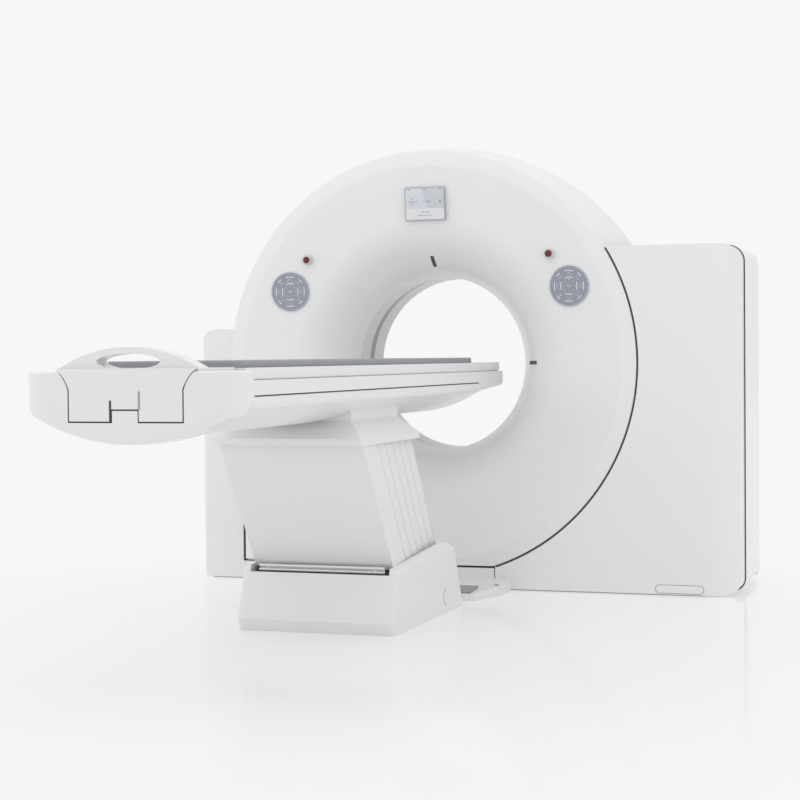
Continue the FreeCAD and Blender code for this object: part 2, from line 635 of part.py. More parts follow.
# carriage channel for the legs of the end piece, then the sliding board and its pad
channel = mouth.cut(slab(V(-REACH, cap_rear + size("slide_travel") + 10, 0),
                         V(REACH, REACH, REACH)))
carriage = body.fuse(prow).removeSplitter().cut(channel)
node(form("Carriage", carriage), "table_carriage")
top_half, tip = size("top_half_width"), size("top_tip")
board_end, shoulder_y = cap_rear + 3, tip - size("tip_round")
heel_left, heel_right = V(-top_half, board_end, board_low), V(top_half, board_end, board_low)
neck_left, neck_right = V(-top_half, shoulder_y, board_low), V(top_half, shoulder_y, board_low)
board_plan = Part.Wire([link(heel_left, heel_right), link(heel_right, neck_right),
                        Part.Arc(neck_right, V(0, tip, board_low), neck_left).toShape(),
                        link(neck_left, heel_left)])
board = Part.Face(board_plan).extrude(V(0, 0, size("top_thickness")))
node(form("Board", board.makeFillet(6, [e for e in board.Edges
                                        if near(e.CenterOfMass.z, board_low)])), "table_board")
pad_low, pad_top = size("table_top"), size("table_top") + size("pad_thickness")
pad_end = size("pad_end")
pad = prism([(cap_rear + 20, pad_low), (pad_end + 14, pad_low), (pad_end, pad_top),
                    (cap_rear + 26, pad_top)], -size("pad_half_width"), size("pad_half_width"))
node(form("Pad", pad), "table_pad")

# lift: parallelogram arms between the base and the head, which carries the carriage
def rectangle(half_x, y_front, y_rear, z):
    corners = [V(-half_x, y_front, z), V(half_x, y_front, z), V(half_x, y_rear, z),
               V(-half_x, y_rear, z)]
    return Part.makePolygon(corners + corners[:1])


ANGLE = math.radians(size("arm_angle"))
LOW_ANGLE = ANGLE - math.radians(size("lift_range"))
ARM, FOOT_Z = size("arm_length"), size("panel_foot_z")
RISE = V(0, -ARM * math.cos(ANGLE), ARM * math.sin(ANGLE))
along = V(0, -math.cos(ANGLE), math.sin(ANGLE))
across = V(0, math.sin(ANGLE), math.cos(ANGLE))
panel_half, panel_deep = size("panel_half_width"), size("panel_thickness")
front_y, rear_y = size("panel_foot_y"), size("column_rear_y")
PANEL_TOP = FOOT_Z + RISE.z

# head: a hollow band round the tops of the leaves, drawn in towards the hull
arm_in, arm_wide, arm_deep = size("arm_half_gap"), size("arm_thickness"), size("arm_width")
PIN = size("shaft_radius")
arm_y, arm_z = size("arm_foot_y"), size("arm_foot_z")
band_low, band_high = PANEL_TOP - 7, PANEL_TOP - 7 + size("head_band")
head_front, head_rear = front_y + RISE.y - 20, rear_y + RISE.y + 22
head_wall = size("head_wall")


def head_solid(inset):
    """The head's outside, or with an inset the hollow in it."""
    half_x, y_front, y_rear = panel_half + 4 - inset, head_front + inset, head_rear - inset
    band = Part.Face(rectangle(half_x, y_front, y_rear, band_low)).extrude(
        V(0, 0, band_high - band_low))
    rim = rectangle(half_x, y_front, y_rear, band_high)
    crown = rectangle(size("head_top_half") - inset, y_front + 66, y_rear - 60, keel + 10)
    neck = Part.Face(crown).extrude(V(0, 0, side_bottom - keel))
    return band.fuse([Part.makeLoft([rim, crown], True, True), neck])


foot_pins = [("front", V(0, arm_y, arm_z)), ("rear", V(0, arm_y + size("arm_spacing"), arm_z))]
plate_in = arm_in + arm_wide + size("run_gap")
plate_out = plate_in + size("ear_thickness")
crown_y, crown_z = arm_y + RISE.y, arm_z + RISE.z
hanger = [(crown_y - 44, keel + 40), (crown_y - 28, crown_z - 28),
          (crown_y + size("arm_spacing") + 28, crown_z - 28),
          (crown_y + size("arm_spacing") + 44, keel + 40)]
hangers = prism(hanger, -plate_out, -plate_in).fuse(prism(hanger, plate_in, plate_out)).cut(body)
for where, foot in foot_pins:
    hangers = hangers.cut(Part.makeCylinder(PIN, 2 * plate_out, foot + RISE - X_AXIS * plate_out,
                                            X_AXIS))
node(form("HeadBrackets", hangers), "head_brackets")


lift_head = head_solid(0).cut(head_solid(head_wall)).cut(body).cut(hangers)
rear_slot = slab(V(-panel_half, head_rear - 2 * head_wall, 0), V(panel_half, head_rear, PANEL_TOP + 7))
node(form("LiftHead", lift_head.cut(rear_slot).removeSplitter()), "lift_head_cover")


def arm(foot, crown, crown_bore):
    """Two flat links and a cross tube, bored for the foot and head shafts."""
    side_step = across * (arm_deep / 2)
    corners = [foot + side_step, crown + side_step, crown - side_step, foot - side_step]
    bars = prism([(c.y, c.z) for c in corners], -arm_in - arm_wide, arm_in + arm_wide)
    for end_point in (foot, crown):
        bars = bars.fuse(Part.makeCylinder(arm_deep / 2, 2 * (arm_in + arm_wide),
                                           end_point - X_AXIS * (arm_in + arm_wide), X_AXIS))
    links = bars.cut(slab(V(-arm_in, -REACH, 0), V(arm_in, 0, REACH)))
    middle = (foot + crown) * 0.5 - X_AXIS * arm_in
    links = links.fuse(Part.makeCylinder(arm_deep / 3, 2 * arm_in, middle, X_AXIS))
    for centre, radius in ((foot, PIN + size("pivot_clearance")), (crown, crown_bore)):
        links = links.cut(Part.makeCylinder(radius, 2 * plate_out, centre - X_AXIS * plate_out,
                                            X_AXIS))
    return links.removeSplitter()


for (where, foot), bore in zip(foot_pins, (size("pivot_clearance"), size("run_gap"))):
    node(form("Arm_" + where, arm(foot, foot + RISE, PIN + bore)), "lift_arm_" + where)
for label, lift in (("base_shafts", V(0, 0, 0)), ("head_shafts", RISE)):
    shafts = [Part.makeCylinder(PIN, 2 * plate_out, foot + lift - X_AXIS * plate_out, X_AXIS)
              for where, foot in foot_pins]
    node(form("Shafts_" + label, Part.makeCompound(shafts)), label)

# base: a floor plate with the ears of the arms, side cheeks, sloped front and rear covers
base_half, base_wall = size("base_half_width"), size("base_wall")
cheek_in = panel_half + size("leaf_gap")
toe_y, heel_y = size("base_front"), size("base_rear")
front_h, rear_h, toe = size("base_front_height"), size("base_rear_height"), size("base_toe_height")
sole = size("base_plate")
base_plate = slab(V(-cheek_in, toe_y + base_wall, 0), V(cheek_in, heel_y - 3 * base_wall, sole))
for where, foot in foot_pins:
    ear = [(foot.y - 60, sole), (foot.y + 60, sole), (foot.y + 26, foot.z + 24),
           (foot.y - 26, foot.z + 24)]
    for low_x in (-plate_out, plate_in):
        base_plate = base_plate.fuse(prism(ear, low_x, low_x + size("ear_thickness")))
for where, foot in foot_pins:
    base_plate = base_plate.cut(Part.makeCylinder(PIN, 2 * plate_out, foot - X_AXIS * plate_out,
                                                  X_AXIS))
node(form("BaseFrame", base_plate.removeSplitter()), "base_frame")
slope_y = toe_y + 43
brow_z = front_h + size("cheek_rise")
profile = [(toe_y, 0), (toe_y - 20, toe - 9), (slope_y, front_h), (slope_y + base_wall, brow_z),
           (heel_y - 193, rear_h), (heel_y - 106, rear_h - 22), (heel_y, 0)]
cheeks = []
for low_x, outer_x in ((-base_half, -base_half), (cheek_in, base_half)):
    cheek = prism(profile, low_x, low_x + base_half - cheek_in)
    rim = [e for e in cheek.Edges if near(e.CenterOfMass.x, outer_x) and e.CenterOfMass.z > 1]
    cheeks.append(cheek.makeFillet(size("cheek_round"), rim))
node(form("Cheeks", Part.makeCompound(cheeks)), "base_cheeks")
front = [(toe_y, 0), (toe_y - 20, toe - 9), (slope_y, front_h), (slope_y + base_wall, front_h),
         (toe_y - 11, toe - 5), (toe_y + base_wall, 0)]
node(form("BaseFront", prism(front, -cheek_in, cheek_in)), "base_front_cover")
back = [(rear_y + 46, rear_h - 14), (heel_y - 112, rear_h - 26), (heel_y - base_wall, 0),
        (heel_y - 2 * base_wall, 0), (heel_y - 117, rear_h - 34), (rear_y + 46, rear_h - 22)]
node(form("BaseRear", prism(back, -cheek_in, cheek_in)), "base_rear_cover")

# strips parallel to the arms: a strip is cut level at both ends, in the raised position
HEM_Z, CUT_Z = FOOT_Z - size("panel_hem"), PANEL_TOP - 2


def strip(low_x, high_x, foot_y, low, high):
    """A strip between two distances behind the line through (foot_y, FOOT_Z)."""
    corners = []
    for depth, level in ((low, HEM_Z), (low, CUT_Z), (high, CUT_Z), (high, HEM_Z)):
        start = V(0, foot_y, FOOT_Z) + across * depth
        corners.append(start + along * ((level - start.z) / along.z))
    return prism([(c.y, c.z) for c in corners], low_x, high_x)


steep, flat = math.sin(ANGLE), math.sin(LOW_ANGLE)
rise, count = size("leaf_rise"), int(size("leaf_count"))
play = 2
depth = (rear_y - front_y) * steep
spacing = (depth - rise - panel_deep + rise - size("leaf_overlap") - play
           ) / (steep - flat + count * steep)
leaf_drop = spacing * steep - rise + size("leaf_overlap")
panel_drop = leaf_drop - spacing * flat + play
pivot_y = front_y + (panel_drop + panel_deep) / steep
leaf_deep, leaf_gap = size("leaf_thickness"), size("leaf_gap")
panel = strip(-panel_half, panel_half, pivot_y, -panel_drop - panel_deep, -panel_drop)
for low_x in (-panel_half, panel_half - leaf_deep):
    panel = panel.fuse(strip(low_x, low_x + leaf_deep, pivot_y, -panel_drop, rise))
node(form("FrontPanel", panel.removeSplitter()), "lift_front_panel")
for number in range(1, count + 1):
    high_x = panel_half - number * (leaf_deep + leaf_gap)
    foot_y = pivot_y + number * spacing
    leaves = [strip(low_x, low_x + leaf_deep, foot_y, -leaf_drop, rise)
              for low_x in (-high_x, high_x - leaf_deep)]
    node(form("Leaf_%d" % number, Part.makeCompound(leaves)), "bellows_leaf_%d" % number)
rear_half = high_x - leaf_deep - leaf_gap
node(form("RearPanel", strip(-rear_half, rear_half, rear_y - panel_deep / steep, 0, panel_deep)),
     "lift_rear_panel")

# trim rails along the hem of the front panel, on two lugs
RAIL = size("rail_radius")
hem_y = front_y - 14
rail_half = rear_half
trims = None
for level in (HEM_Z + 7, HEM_Z - 7):
    rail = Part.makeCylinder(RAIL, 2 * rail_half, V(-rail_half, hem_y, level), X_AXIS)
    trims = rail if trims is None else trims.fuse(rail)
lug = [(hem_y, HEM_Z - 9), (hem_y, HEM_Z + 9), (hem_y + 40, HEM_Z + 9), (hem_y + 40, HEM_Z - 9)]
for low_x in (-rail_half + 30, rail_half - 38):
    trims = trims.fuse(prism(lug, low_x, low_x + 8))
node(form("TrimRails", trims.cut(panel).removeSplitter()), "trim_rails")

# foot pedals on a low shoe beside the gantry
shoe_front, pin_y, pin_z = size("pedal_front"), size("pedal_pivot_y"), size("pedal_pivot_z")
shoe_rear, wide = -size("stand_front"), size("pedal_width")
pedal_lows = (("left", size("left_pedal_x")), ("right", size("right_pedal_x")))
shoe_low, shoe_high = size("left_pedal_x") - 22, size("right_pedal_x") + wide
shoe = plan([(shoe_low, shoe_rear), (shoe_high + 26, shoe_rear), (shoe_high + 78, shoe_rear - 54),
             (shoe_high + 66, shoe_front + 184), (shoe_high + 18, shoe_front + 14),
             (shoe_high - 24, shoe_front), (shoe_low, shoe_front)], 0, 46)
shoe = shoe.cut(prism([(shoe_rear, 80), (shoe_rear, 46), (shoe_front, 27), (shoe_front, 80)],
                      0, 2 * shoe_high))
for side_name, low_x in pedal_lows:
    shoe = shoe.cut(slab(V(low_x, shoe_front + 16, 14), V(low_x + wide, pin_y + 12, 80)))
for side_name, low_x in pedal_lows:
    shoe = shoe.fuse(Part.makeCylinder(5, wide, V(low_x, pin_y, pin_z), X_AXIS))
node(form("PedalShoe", shoe.removeSplitter()), "pedal_housing")
for side_name, low_x in pedal_lows:
    lever = prism([(shoe_front + 18, pin_z - 8), (pin_y - 8, pin_z - 8), (pin_y + 8, pin_z - 6),
                   (pin_y + 8, pin_z + 9), (shoe_front + 18, pin_z)], low_x + 1, low_x + wide - 1)
    eye = Part.makeCylinder(5 + size("pivot_clearance"), wide, V(low_x, pin_y, pin_z), X_AXIS)
    node(form("Pedal_" + side_name, lever.cut(eye)), side_name + "_pedal")


doc.recompute()
faulty = [o.Label for o in doc.Objects if "Invalid" in o.State or "Error" in o.State]
if faulty:
    raise RuntimeError("failed objects: %s" % faulty)
for piece in nodes:
    if piece.Shape.isNull() or not piece.Shape.isValid():
        raise RuntimeError("bad shape: " + piece.Label)
os.makedirs("parts", exist_ok=True)
for piece in nodes:
    piece.Shape.exportStep("parts/%s.step" % piece.Label)
print("wrote %d pieces" % len(nodes))
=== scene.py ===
"""Computed tomography scanner: materials, fine details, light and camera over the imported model."""
import bmesh
import bpy
import math
from mathutils import Matrix, Vector


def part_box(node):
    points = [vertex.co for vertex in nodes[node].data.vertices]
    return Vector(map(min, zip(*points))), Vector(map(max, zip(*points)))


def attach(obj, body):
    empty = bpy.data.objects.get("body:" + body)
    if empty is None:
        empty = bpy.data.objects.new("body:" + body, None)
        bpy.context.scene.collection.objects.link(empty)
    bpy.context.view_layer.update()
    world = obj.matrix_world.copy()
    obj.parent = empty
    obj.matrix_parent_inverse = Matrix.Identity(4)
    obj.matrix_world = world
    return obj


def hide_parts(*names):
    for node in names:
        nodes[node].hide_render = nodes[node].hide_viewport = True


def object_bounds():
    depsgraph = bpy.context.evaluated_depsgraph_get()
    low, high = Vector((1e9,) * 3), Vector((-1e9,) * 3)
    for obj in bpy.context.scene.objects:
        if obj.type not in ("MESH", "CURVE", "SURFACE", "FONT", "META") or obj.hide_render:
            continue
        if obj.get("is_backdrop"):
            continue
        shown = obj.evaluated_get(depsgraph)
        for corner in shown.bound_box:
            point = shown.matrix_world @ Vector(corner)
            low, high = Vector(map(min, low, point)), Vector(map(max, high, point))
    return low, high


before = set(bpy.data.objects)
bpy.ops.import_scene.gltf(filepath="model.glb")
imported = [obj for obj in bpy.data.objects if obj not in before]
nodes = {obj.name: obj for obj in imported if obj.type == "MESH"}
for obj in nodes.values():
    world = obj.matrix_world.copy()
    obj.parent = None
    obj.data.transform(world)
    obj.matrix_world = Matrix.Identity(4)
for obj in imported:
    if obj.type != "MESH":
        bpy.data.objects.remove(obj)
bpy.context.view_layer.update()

# Height of the bore axis, and radius of the ball in which the ring tilts between the stands.
ISO_Z = 0.885
BALL_RADIUS = 0.910
# Brightness of the backdrop, and of the floor far from the scanner.
BACKDROP = (0.930, 0.930, 0.930, 1)


# ---- shader groups and materials ---------------------------------------------------------
def math_node(tree, operation, *values):
    """A Math node with sockets or numbers as its inputs, and its output."""
    step = tree.nodes.new("ShaderNodeMath")
    step.operation = operation
    for place, value in enumerate(values):
        if isinstance(value, bpy.types.NodeSocket):
            tree.links.new(value, step.inputs[place])
        else:
            step.inputs[place].default_value = value
    return step.outputs[0]


def mix_colour(tree, factor, first, second):
    """A colour mix, with sockets or colours as its inputs, and its output."""
    mix = tree.nodes.new("ShaderNodeMix")
    mix.data_type = "RGBA"
    for place, value in ((0, factor), (6, first), (7, second)):
        if isinstance(value, bpy.types.NodeSocket):
            tree.links.new(value, mix.inputs[place])
        elif place:
            mix.inputs[place].default_value = (*value, 1)
        else:
            mix.inputs[place].default_value = value
    return mix.outputs[2]


def surface_group():
    """Slight unevenness of a moulded or painted face: tone, gloss and a fine skin."""
    group = bpy.data.node_groups.new("moulded_surface", "ShaderNodeTree")
    for name, kind, default in (("Color", "NodeSocketColor", (0.8, 0.8, 0.8, 1)),
                                ("Tone", "NodeSocketFloat", 0.02),
                                ("Roughness", "NodeSocketFloat", 0.3),
                                ("Gloss change", "NodeSocketFloat", 0.05),
                                ("Grain size", "NodeSocketFloat", 900.0)):
        socket = group.interface.new_socket(name=name, in_out="INPUT", socket_type=kind)
        socket.default_value = default
    for name, kind in (("Color", "NodeSocketColor"), ("Roughness", "NodeSocketFloat"),
                       ("Height", "NodeSocketFloat")):
        group.interface.new_socket(name=name, in_out="OUTPUT", socket_type=kind)
    start = group.nodes.new("NodeGroupInput")
    end = group.nodes.new("NodeGroupOutput")
    place = group.nodes.new("ShaderNodeTexCoord")
    broad = group.nodes.new("ShaderNodeTexNoise")
    broad.inputs["Scale"].default_value = 2.3
    broad.inputs["Detail"].default_value = 3
    fine = group.nodes.new("ShaderNodeTexNoise")
    fine.inputs["Detail"].default_value = 2
    group.links.new(place.outputs["Object"], broad.inputs["Vector"])
    group.links.new(place.outputs["Object"], fine.inputs["Vector"])
    group.links.new(start.outputs["Grain size"], fine.inputs["Scale"])
    centred = math_node(group, "SUBTRACT", broad.outputs["Fac"], 0.5)
    tone = math_node(group, "MULTIPLY_ADD", centred, start.outputs["Tone"], 1.0)
    shade = group.nodes.new("ShaderNodeVectorMath")
    shade.operation = "SCALE"
    group.links.new(start.outputs["Color"], shade.inputs[0])
    group.links.new(tone, shade.inputs["Scale"])
    group.links.new(shade.outputs[0], end.inputs["Color"])
    gloss = math_node(group, "MULTIPLY_ADD", centred, start.outputs["Gloss change"],
                      start.outputs["Roughness"])
    group.links.new(gloss, end.inputs["Roughness"])
    group.links.new(fine.outputs["Fac"], end.inputs["Height"])
    return group


SURFACE = surface_group()


def finish_material(name, colour, roughness, metallic=0.0, coat=0.0, tone=0.02, gloss_change=0.05,
                    grain=900.0, grain_depth=0.00002, specular=0.5):
    """A Principled material over the shared surface group; colour may be a builder of a socket."""
    material = bpy.data.materials.new(name)
    material.use_nodes = True
    tree = material.node_tree
    shader = tree.nodes["Principled BSDF"]
    surface = tree.nodes.new("ShaderNodeGroup")
    surface.node_tree = SURFACE
    if callable(colour):
        tree.links.new(colour(tree), surface.inputs["Color"])
    else:
        surface.inputs["Color"].default_value = (*colour, 1)
    surface.inputs["Tone"].default_value = tone
    surface.inputs["Roughness"].default_value = roughness
    surface.inputs["Gloss change"].default_value = gloss_change
    surface.inputs["Grain size"].default_value = grain
    tree.links.new(surface.outputs["Color"], shader.inputs["Base Color"])
    tree.links.new(surface.outputs["Roughness"], shader.inputs["Roughness"])
    bump = tree.nodes.new("ShaderNodeBump")
    bump.inputs["Strength"].default_value = 0.4
    bump.inputs["Distance"].default_value = grain_depth
    tree.links.new(surface.outputs["Height"], bump.inputs["Height"])
    tree.links.new(bump.outputs["Normal"], shader.inputs["Normal"])
    shader.inputs["Metallic"].default_value = metallic
    shader.inputs["Coat Weight"].default_value = coat
    shader.inputs["Coat Roughness"].default_value = 0.12
    shader.inputs["Specular IOR Level"].default_value = specular
    return material


def centred_place(tree, centre):
    """The distances to the right of and above a point on a face that looks to the front."""
    place = tree.nodes.new("ShaderNodeTexCoord")
    mapping = tree.nodes.new("ShaderNodeMapping")
    mapping.inputs["Location"].default_value = [-v for v in centre]
    tree.links.new(place.outputs["Object"], mapping.inputs["Vector"])
    split = tree.nodes.new("ShaderNodeSeparateXYZ")
    tree.links.new(mapping.outputs["Vector"], split.inputs[0])
    return split.outputs["X"], split.outputs["Z"]


def band(tree, value, low, high):
    """1 where value lies between low and high."""
    middle, half = (low + high) / 2, (high - low) / 2
    away = math_node(tree, "ABSOLUTE", math_node(tree, "SUBTRACT", value, middle))
    return math_node(tree, "LESS_THAN", away, half)


def keypad_colour(centre):
    """A round membrane keypad: two rings of light key outlines on a blue-grey film."""
    def build(tree):
        across, up = centred_place(tree, centre)
        radius = math_node(tree, "SQRT", math_node(
            tree, "ADD", math_node(tree, "MULTIPLY", across, across),
            math_node(tree, "MULTIPLY", up, up)))
        turn = math_node(tree, "ARCTAN2", up, across)

        def keys(count, start, gap):
            """1 on the keys of a ring, 0 in the gaps between them."""
            share = math_node(tree, "MULTIPLY_ADD", turn, count / (2 * math.pi), start)
            part = math_node(tree, "FRACT", math_node(tree, "ADD", share, 40.0))
            return math_node(tree, "LESS_THAN", math_node(
                tree, "ABSOLUTE", math_node(tree, "SUBTRACT", part, 0.5)), 0.5 - gap)

        marks = None
        for low, high, count, start, gap in ((0.0575, 0.0605, 4, 0.5, 0.32),
                                             (0.0595, 0.0625, 4, 0.0, 0.40),
                                             (0.0480, 0.0500, 8, 0.5, 0.40),
                                             (0.0425, 0.0440, 16, 0.0, 0.36),
                                             (0.0315, 0.0345, 4, 0.5, 0.20),
                                             (0.0225, 0.0250, 8, 0.5, 0.41),
                                             (0.0040, 0.0060, 2, 0.5, 0.20)):
            mark = math_node(tree, "MULTIPLY", band(tree, radius, low, high),
                             keys(count, start, gap))
            marks = mark if marks is None else math_node(tree, "MAXIMUM", marks, mark)
        rim = math_node(tree, "GREATER_THAN", radius, 0.0735)
        film = mix_colour(tree, rim, (0.285, 0.305, 0.355), (0.36, 0.38, 0.43))
        return mix_colour(tree, marks, film, (0.78, 0.80, 0.86))
    return build


def display_colour(centre):
    """A status display: a dark rim, a blue-grey picture and a pale strip of keys under it."""
    def build(tree):
        across, up = centred_place(tree, centre)
        side = math_node(tree, "ABSOLUTE", across)
        inside = math_node(tree, "MULTIPLY", math_node(tree, "LESS_THAN", side, 0.0785),
                           math_node(tree, "LESS_THAN", math_node(tree, "ABSOLUTE", up), 0.0615))
        picture = math_node(tree, "GREATER_THAN", up, -0.019)
        slant = math_node(tree, "MULTIPLY_ADD", up, 0.35, across)
        half = math_node(tree, "GREATER_THAN", slant, 0.006)
        sky = mix_colour(tree, half, (0.63, 0.66, 0.71), (0.56, 0.59, 0.63))
        dial = math_node(tree, "SQRT", math_node(
            tree, "ADD", math_node(tree, "POWER", math_node(tree, "ADD", across, 0.052), 2.0),
            math_node(tree, "POWER", math_node(tree, "SUBTRACT", up, 0.008), 2.0)))
        dots = math_node(tree, "LESS_THAN", math_node(
            tree, "FRACT", math_node(tree, "MULTIPLY_ADD", math_node(
                tree, "ARCTAN2", math_node(tree, "SUBTRACT", up, 0.008),
                math_node(tree, "ADD", across, 0.052)), 4 / (2 * math.pi), 40.25)), 0.5)
        ring = math_node(tree, "MAXIMUM", band(tree, dial, -0.001, 0.0042),
                         math_node(tree, "MULTIPLY", band(tree, dial, 0.0095, 0.0125), dots))
        level = band(tree, up, 0.004, 0.012)
        bars = math_node(tree, "MULTIPLY", level, math_node(
            tree, "MAXIMUM", band(tree, across, -0.004, -0.002),
            math_node(tree, "MAXIMUM", band(tree, across, 0.004, 0.011),
                      band(tree, across, 0.015, 0.021))))
        needle = math_node(tree, "MULTIPLY", band(tree, across, 0.059, 0.067),
                           band(tree, up, 0.002, 0.013))
        brackets = math_node(tree, "MULTIPLY", level, math_node(
            tree, "MAXIMUM", band(tree, across, -0.036, -0.034),
            band(tree, across, -0.029, -0.027)))
        top = math_node(tree, "MULTIPLY", band(tree, up, 0.054, 0.059), math_node(
            tree, "MAXIMUM", math_node(tree, "LESS_THAN", side, 0.007),
            band(tree, side, 0.058, 0.070)))
        marks = ring
        for mark in (bars, needle, brackets, top):
            marks = math_node(tree, "MAXIMUM", marks, mark)
        screen = mix_colour(tree, marks, sky, (0.33, 0.35, 0.38))
        lines = math_node(tree, "MAXIMUM",
                          math_node(tree, "MULTIPLY", band(tree, up, -0.036, -0.031),
                                    math_node(tree, "LESS_THAN", side, 0.020)),
                          math_node(tree, "MULTIPLY", band(tree, up, -0.048, -0.043),
                                    math_node(tree, "LESS_THAN", side, 0.030)))
        dashes = math_node(tree, "LESS_THAN", math_node(
            tree, "FRACT", math_node(tree, "MULTIPLY_ADD", across, 150.0, 20.5)), 0.7)
        keys = math_node(tree, "MULTIPLY", lines, dashes)
        strip = mix_colour(tree, keys, (0.72, 0.73, 0.745), (0.40, 0.42, 0.45))
        face = mix_colour(tree, picture, strip, screen)
        return mix_colour(tree, inside, (0.37, 0.38, 0.41), face)
    return build


def middle(name):
    """The centre of a node's box."""
    low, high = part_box(name)
    return [(a + b) / 2 for a, b in zip(low, high)]


WHITE = (0.80, 0.805, 0.81)
cover = finish_material("white_cover", WHITE, 0.26, coat=0.25)
lift_cover = finish_material("white_lift_cover", (0.79, 0.795, 0.80), 0.32, coat=0.15)
# The liner's grey is partly its own colour and partly painted shade of the bore, so it is darker
# than the covers.
liner = finish_material("bore_liner_grey_and_shade", (0.60, 0.605, 0.62), 0.30, coat=0.1)
top_shell = finish_material("table_top_laminate", (0.80, 0.81, 0.82), 0.28, coat=0.2)
# Near-black painted shade: strips of this stand for the shade deep in the gaps and seams between the
# covers.
painted_gap_shade = finish_material("gap_shade_black", (0.035, 0.037, 0.04), 0.55)
piping = finish_material("bellows_piping", (0.69, 0.695, 0.70), 0.45)
# Grey painted shade for the inside of a slot.
painted_slot_shade = finish_material("painted_slot_shade", (0.36, 0.365, 0.37), 0.6)
dark_film = finish_material("dark_window_film", (0.045, 0.047, 0.05), 0.12, coat=0.6)
scan_film = finish_material("scan_window_film", (0.10, 0.10, 0.105), 0.22, coat=0.4)
stop_red = finish_material("stop_button_red", (0.135, 0.009, 0.010), 0.34, coat=0.2)
collar_grey = finish_material("collar_grey", (0.60, 0.60, 0.61), 0.38)
silver = finish_material("satin_aluminium", (0.82, 0.825, 0.83), 0.34, metallic=0.35)
steel = finish_material("ground_steel", (0.50, 0.51, 0.52), 0.28, metallic=1.0, grain=300.0)
frame_paint = finish_material("frame_paint", (0.33, 0.35, 0.37), 0.45, grain=500.0,
                              grain_depth=0.0001)
tread = finish_material("pedal_rubber", (0.33, 0.335, 0.345), 0.6, grain=260.0, grain_depth=0.0004)
shoe_plastic = finish_material("shoe_plastic", (0.80, 0.805, 0.81), 0.34, coat=0.1)
pad_vinyl = finish_material("pad_vinyl", (0.30, 0.31, 0.325), 0.52, grain=420.0,
                            grain_depth=0.0002, tone=0.06)

FINISHES = {
    "ring_front_cover": cover, "ring_rear_cover": cover, "right_stand_front_cover": cover,
    "right_stand_rear_cover": cover, "left_stand_front_cover": cover,
    "left_stand_rear_cover": cover, "front_corner_cover": cover, "rear_corner_cover": cover,
    "plinth_covers": cover, "table_carriage": cover, "foot_end_cap": cover, "end_grip": cover,
    "lift_head_cover": lift_cover, "lift_front_panel": lift_cover, "lift_rear_panel": lift_cover,
    "base_front_cover": lift_cover, "base_rear_cover": lift_cover, "base_cheeks": lift_cover,
    "bore_liner_front": liner, "bore_liner_rear": liner, "scan_window": scan_film,
    "table_board": top_shell, "laser_windows": dark_film, "stop_collars": collar_grey,
    "left_stop_button": stop_red, "right_stop_button": stop_red, "trim_rails": silver,
    "tilt_bearings": steel, "outer_race": steel, "inner_race": steel, "base_shafts": steel,
    "head_shafts": steel, "xray_tube": steel, "slip_ring": steel, "left_pedal": tread,
    "right_pedal": tread, "pedal_housing": shoe_plastic,
    "left_keypad": finish_material("left_keypad_film", keypad_colour(middle("left_keypad")),
                                   0.35, coat=0.2),
    "right_keypad": finish_material("right_keypad_film", keypad_colour(middle("right_keypad")),
                                    0.35, coat=0.2),
    "display_panel": finish_material("display_film", display_colour(middle("display_panel")),
                                     0.22, coat=0.5),
}
for name, node in nodes.items():
    if name.startswith("bellows_leaf"):
        material = lift_cover
    else:
        material = FINISHES.get(name, frame_paint)
    node.data.materials.clear()
    node.data.materials.append(material)


# ---- modelling helpers -------------------------------------------------------------------
def settle(name, body, material, smooth=35):
    """Names the active piece, applies its place and puts it on its body."""
    piece = bpy.context.object
    piece.name = name
    piece.data.name = name
    bpy.ops.object.transform_apply(location=True, rotation=True, scale=True)
    bpy.ops.object.shade_smooth_by_angle(angle=math.radians(smooth))
    piece.data.materials.clear()
    piece.data.materials.append(material)
    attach(piece, body)
    return piece


def block(low, high):
    """Adds a cube between two corners and selects it alone."""
    bpy.ops.object.select_all(action="DESELECT")
    size = [b - a for a, b in zip(low, high)]
    bpy.ops.mesh.primitive_cube_add(size=1, location=[(a + b) / 2 for a, b in zip(low, high)])
    bpy.context.object.scale = size
    bpy.ops.object.transform_apply(location=False, rotation=False, scale=True)
    return bpy.context.object


def select_edges(piece, test):
    """Selects the edges whose middle passes the test; the piece stays in edit mode."""
    bpy.ops.object.mode_set(mode="EDIT")
    bpy.ops.mesh.select_mode(type="EDGE")
    mesh = bmesh.from_edit_mesh(piece.data)
    for edge in mesh.edges:
        ends = [vertex.co for vertex in edge.verts]
        edge.select_set(test((ends[0] + ends[1]) / 2, (ends[1] - ends[0]).normalized()))
    bmesh.update_edit_mesh(piece.data)


def round_edges(piece, test, width, segments=4):
    """Bevels the edges that the test picks."""
    select_edges(piece, test)
    bpy.ops.mesh.bevel(offset=width, segments=segments, affect="EDGES")
    bpy.ops.object.mode_set(mode="OBJECT")


def arc(centre, radius, start, end, steps):
    """Points (x, z) on an arc between two angles in degrees."""
    turns = [math.radians(start + (end - start) * i / steps) for i in range(steps + 1)]
    return [(centre[0] + radius * math.cos(t), centre[1] + radius * math.sin(t)) for t in turns]


